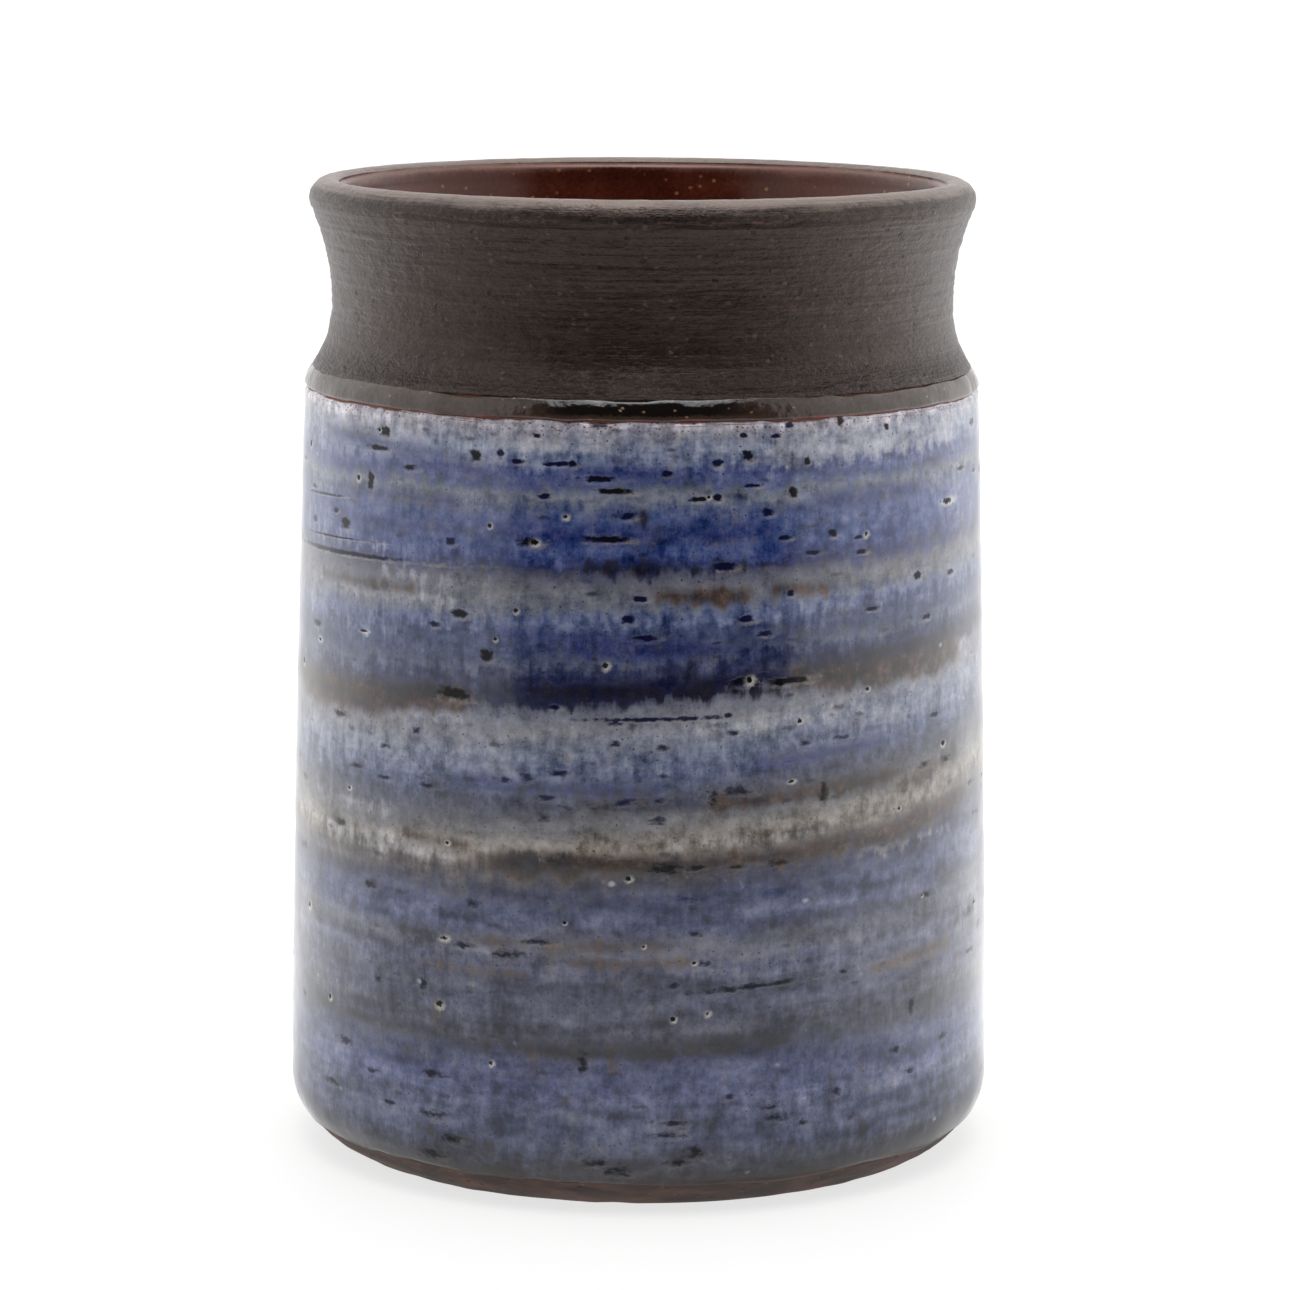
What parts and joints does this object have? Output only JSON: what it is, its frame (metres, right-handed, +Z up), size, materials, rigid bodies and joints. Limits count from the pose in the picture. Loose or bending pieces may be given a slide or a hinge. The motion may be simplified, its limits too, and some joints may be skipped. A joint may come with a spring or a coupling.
{
  "type": "stoneware vase",
  "caption": "Wheel-thrown cylindrical stoneware vase with a waisted neck, flared rounded lip, glazed outside and lined with glaze inside.",
  "frame": {"origin": "centre of the flat ring under the foot, on the surface the vase stands on", "axes": "+Z up along the axis the vase was turned on; +X to the right and -Y towards a viewer who faces the front of the glaze"},
  "size_m": [0.0914, 0.0914, 0.125],
  "materials": {
    "bare_clay": "matt, unglazed dark brown stoneware",
    "blue_glaze": "glossy mottled blue, grey and brown banded glaze",
    "dark_glaze": "glossy dark clear glaze",
    "iron_wash": "matt to satin near-black iron wash with turning lines",
    "liner_glaze": "glossy red-brown glaze with tan specks"
  },
  "bodies": {
    "root": {"clay_body": "bare_clay", "blue_glaze": "blue_glaze", "shoulder_glaze": "dark_glaze", "neck_wash": "iron_wash", "liner_glaze": "liner_glaze"}
  },
  "joints": []
}
